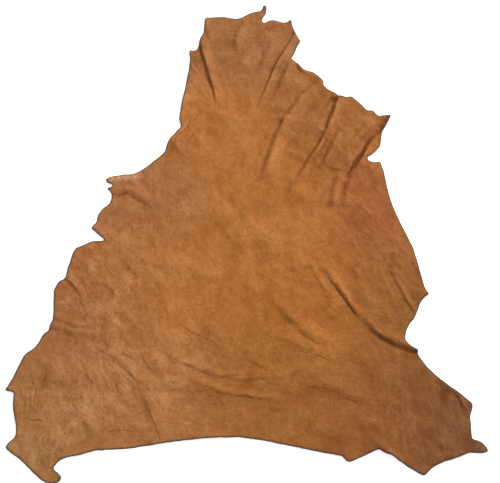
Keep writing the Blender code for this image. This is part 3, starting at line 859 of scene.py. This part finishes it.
# a light or dark patch is a change of hue too, since dye that lies thick is redder
light = (cloud - 0.5) * 0.4 + (mottle - 0.5) * (0.65 + loose * 0.25)
light = light + (blotch - 0.5) * (0.6 + loose * 0.4)
light = light + (fleck - 0.5) * 0.68 + (pore - 0.5) * 0.75 + (wrinkle - 0.3) * 0.2
light = light - net * 0.05 - dark_strands * 0.15 + pale_strands * 0.17
# painted light: a highlight with the wear on the pleats' crests, and painted shade on their faces,
# in the creases, and in hollows among the stains
light = light + ridge * 0.17 - tuck * 0.22 - crease * 0.40 - stain * 0.40
light = light.math("SMOOTH_MIN", light, PALEST, SOFTLY)
tint = tree.add("ShaderNodeCombineColor", None, {
    name: light.math("EXPONENT", light * amount) for name, amount in DYE.items()})
colour = blend(tree, 1.0, tone, tint, "MULTIPLY")
colour = lit(tree, colour, DYE_DEPTH)
speckle = between(tree, fleck * 0.35 + pore * 0.65 + scuff * 0.3, 0.48, 0.76)
colour = blend(tree, speckle * scuff, colour, SCUFFED)
undyed = between(tree, bare + (fleck - 0.5) * 0.5, 0.25, 0.75)
colour = blend(tree, undyed * 0.8, colour, UNDYED)
# a dark rim along the cut: painted shade at the edge, over the cut's own dark colour
rim_shade = 1 - between(tree, inland, RIM_SHADE_FROM, RIM_SHADE_TO)
colour = blend(tree, rim_shade * 0.92, colour, RIM_SHADE)
rough = 0.76 + (blotch - 0.5) * 0.2 - ridge * 0.08
relief = pore * 0.35 + fleck * 0.65 - net * 0.5 - dark_strands * 0.6 + pale_strands * 0.5
finish(tree, colour, rough, ((mottle + blotch * 0.6, 0.0026), (relief, 0.0006)),
       {"Specular IOR Level": 0.14, "Sheen Weight": 0.04, "Sheen Roughness": 0.6,
        "Sheen Tint": (0.9, 0.5, 0.25, 1)})

# The cut: dark grey-brown fibre, where dye and wax went in from both sides, and painted darker
# still as painted shade, so it shows as a dark line even where the lamp falls on it.
cut_leather, tree, place = leather("knife cut")
fibre = grains(tree, place, 0.0012, 3, 0.7)
colour = blend(tree, fibre, (0.045, 0.037, 0.031, 1), (0.14, 0.115, 0.10, 1))
finish(tree, colour, 0.85 + (fibre - 0.5) * 0.1, ((fibre, 0.0003),),
       {"Specular IOR Level": 0.25})

# The flesh side: a short grey-brown nap, as the splitting knife and the wheel left it.
flesh_leather, tree, place = leather("flesh nap")
nap = grains(tree, place, 0.0018, 4, 0.7)
cloud = grains(tree, place, 0.03, 3)
colour = blend(tree, nap * 0.6 + cloud * 0.4, (0.16, 0.115, 0.085, 1), (0.36, 0.27, 0.21, 1))
finish(tree, colour, 0.92 + (cloud - 0.5) * 0.1, ((nap, 0.0006),),
       {"Specular IOR Level": 0.2, "Sheen Weight": 0.25})

# ---- The skin: pressed, puckered and dressed -----------------------------------------------------
# One tree puckers both sides where the skin is loose, presses the creases into the grain side,
# and dresses the grain, the cut and the flesh side in their own finishes.
DEEPEST = 1.2               # a crease of more strength than this takes more painted shade, but is no deeper
PRESSED = (
    ("Crease Depth", 0.0006), ("Crease Width", 0.0011), ("Pucker Height", 0.0042),
    ("Pucker Size", 0.055), ("Pucker Place", 7.3), ("Wrinkle Height", 0.0018),
    ("Wrinkle Width", 0.015),
)
press = bpy.data.node_groups.new("press and pucker", "GeometryNodeTree")
press.interface.new_socket("Skin", in_out="INPUT", socket_type="NodeSocketGeometry")
press.interface.new_socket("Creases", in_out="INPUT", socket_type="NodeSocketObject")
for name, _ in PRESSED:
    press.interface.new_socket(name, in_out="INPUT", socket_type="NodeSocketFloat")
for name in ("Grain Side", "Cut", "Flesh Side"):
    press.interface.new_socket(name, in_out="INPUT", socket_type="NodeSocketMaterial")
press.interface.new_socket("Skin", in_out="OUTPUT", socket_type="NodeSocketGeometry")

tree = Tree(press)
given = tree.add("NodeGroupInput")
chalked = tree.add("GeometryNodeObjectInfo", None, {"Object": given["Creases"]}, "Geometry")
spot = tree.add("GeometryNodeInputNamedAttribute", {"data_type": "FLOAT_VECTOR"},
                {"Name": "flat"}, "Attribute")


def named(name):
    return tree.add("GeometryNodeInputNamedAttribute", {"data_type": "FLOAT"}, {"Name": name},
                    "Attribute")


# how far each place is from the nearest crease, in that crease's widths
gap = tree.add("GeometryNodeProximity", {"target_element": "EDGES"},
               {"Geometry": chalked, "Sample Position": spot}, "Distance")
nearest = tree.add("GeometryNodeSampleNearest", {"domain": "POINT"},
                   {"Geometry": chalked, "Sample Position": spot}, "Index")
strength, width = (
    tree.add("GeometryNodeSampleIndex", {"data_type": "FLOAT", "domain": "POINT"},
             {"Geometry": chalked, "Value": named(name), "Index": nearest}, "Value")
    for name in ("strength", "width"))
widths = gap / (given["Crease Width"] * width)
squared = widths * widths
bell = squared.math("EXPONENT", -squared)
depth = strength.math("MINIMUM", strength, DEEPEST) * given["Crease Depth"]
pressed = (squared - 1) * bell * depth * named("on_grain")

# soft puckers, the same on both sides
where = tree.add("ShaderNodeTexNoise", {"noise_dimensions": "4D"}, {
    "Vector": spot, "W": given["Pucker Place"], "Scale": 1 / given["Pucker Size"],
    "Detail": 2.0, "Roughness": 0.45, "Distortion": 0.3})
pucker = between(tree, where, 0.42, 0.78) * given["Pucker Height"]

# wrinkles in the drawn skin, run together from the streaks of each direction, and softer on
# the flesh side
wrinkle = 0
for number, turn in enumerate(DRAWN):
    streaks = tree.add("ShaderNodeTexNoise", {"noise_dimensions": "4D"}, {
        "Vector": drawn_out(tree, spot, turn, 2.4), "W": number * 5.0,
        "Scale": 1 / given["Wrinkle Width"], "Detail": 2.0, "Roughness": 0.5,
        "Distortion": 0.9})
    wrinkle = between(tree, streaks, 0.34, 0.66) * named(f"pull {number}") + wrinkle
pucker = pucker + wrinkle * given["Wrinkle Height"] * (named("on_grain") * 0.45 + 0.55)

up = tree.add("ShaderNodeCombineXYZ", None, {"Z": pucker})
out = tree.add("ShaderNodeVectorMath", {"operation": "SCALE"},
               {"Vector": tree.add("GeometryNodeInputNormal"), "Scale": pressed}, "Vector")
moved = tree.add("ShaderNodeVectorMath", {"operation": "ADD"}, {0: up, 1: out}, "Vector")
skin = tree.add("GeometryNodeSetPosition", None, {"Geometry": given["Skin"], "Offset": moved})
# how strongly each place takes a crease's painted shade
skin = tree.add("GeometryNodeStoreNamedAttribute", {"data_type": "FLOAT", "domain": "POINT"},
                {"Geometry": skin, "Name": "crease", "Value": bell * strength})
skin = tree.add("GeometryNodeStoreNamedAttribute", {"data_type": "FLOAT", "domain": "POINT"},
                {"Geometry": skin, "Name": "wrinkle", "Value": wrinkle})
layer_of = tree.add("GeometryNodeInputNamedAttribute", {"data_type": "INT"}, {"Name": "side"},
                    "Attribute")
for number, name in enumerate(("Grain Side", "Cut", "Flesh Side")):
    here = tree.add("FunctionNodeCompare", {"data_type": "INT", "operation": "EQUAL"},
                    {"A": layer_of, "B": number}, "Result")
    skin = tree.add("GeometryNodeSetMaterial", None,
                    {"Geometry": skin, "Selection": here, "Material": given[name]})
skin = tree.add("GeometryNodeRealizeInstances", None, {"Geometry": skin})
tree.add("NodeGroupOutput", None, {"Skin": skin})

blank = bpy.data.objects.new("skin before creasing", skin_mesh)
bpy.context.scene.collection.objects.link(blank)
modifier = blank.modifiers.new("press and pucker", "NODES")
modifier.node_group = press
settings = dict(PRESSED)
settings.update({"Creases": chalk, "Grain Side": grain_leather, "Cut": cut_leather,
                 "Flesh Side": flesh_leather})
for item in press.interface.items_tree:
    if item.name in settings:
        modifier[item.identifier] = settings[item.name]
bpy.context.view_layer.update()
evaluated = blank.evaluated_get(bpy.context.evaluated_depsgraph_get())
finished = bpy.data.meshes.new_from_object(evaluated)
finished.name = "tanned_skin"
blank.modifiers.remove(modifier)
bpy.data.objects.remove(blank)
bpy.data.objects.remove(chalk)
finished.shade_smooth()
tanned_skin = bpy.data.objects.new("tanned_skin", finished)
bpy.context.scene.collection.objects.link(tanned_skin)

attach(tanned_skin, "root")
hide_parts("hide")

# ---- The stage ---------------------------------------------------------------------------------
# A plain white floor that glows a little, like a light table, a bright even sky, one broad lamp
# to the right of the neck, and a camera that looks down on the skin from above the rump.
FLOOR_SIZE = 14
FLOOR_GLOW = 0.55
SKY = 0.50
LAMP_AT = Vector((2.2, 1.9, 2.1))
LAMP_SIZE, LAMP_POWER = 1.2, 144
CAMERA_AT = (0.011, -0.4518, 1.104)
CAMERA_TILT = 20.04         # degrees from straight down
CAMERA_LENS, CAMERA_WIDTH = 49.1, 36        # mm
bpy.context.scene.view_settings.view_transform = "Standard"
bpy.ops.mesh.primitive_plane_add(size=FLOOR_SIZE)
floor = bpy.context.object
floor.name = "floor"
white = bpy.data.materials.new("white floor")
white.use_nodes = True
paint = white.node_tree.nodes["Principled BSDF"]
paint.inputs["Base Color"].default_value = (0.93, 0.93, 0.93, 1)
paint.inputs["Roughness"].default_value = 0.9
paint.inputs["Specular IOR Level"].default_value = 0.1
paint.inputs["Emission Color"].default_value = (1, 1, 1, 1)
paint.inputs["Emission Strength"].default_value = FLOOR_GLOW
floor.data.materials.append(white)

world = bpy.data.worlds.new("even sky")
world.use_nodes = True
sky = world.node_tree.nodes["Background"]
sky.inputs["Color"].default_value = (1, 1, 1, 1)
sky.inputs["Strength"].default_value = SKY
bpy.context.scene.world = world

lamp = bpy.data.lights.new("broad lamp", "AREA")
lamp.size, lamp.energy = LAMP_SIZE, LAMP_POWER
lamp_object = bpy.data.objects.new("broad lamp", lamp)
lamp_object.location = LAMP_AT
lamp_object.rotation_euler = LAMP_AT.to_track_quat("Z", "Y").to_euler()
bpy.context.scene.collection.objects.link(lamp_object)

camera = bpy.data.cameras.new("camera")
camera.lens, camera.sensor_width = CAMERA_LENS, CAMERA_WIDTH
camera_object = bpy.data.objects.new("camera", camera)
camera_object.location = CAMERA_AT
camera_object.rotation_euler = (radians(CAMERA_TILT), 0, 0)
bpy.context.scene.collection.objects.link(camera_object)
bpy.context.scene.camera = camera_object
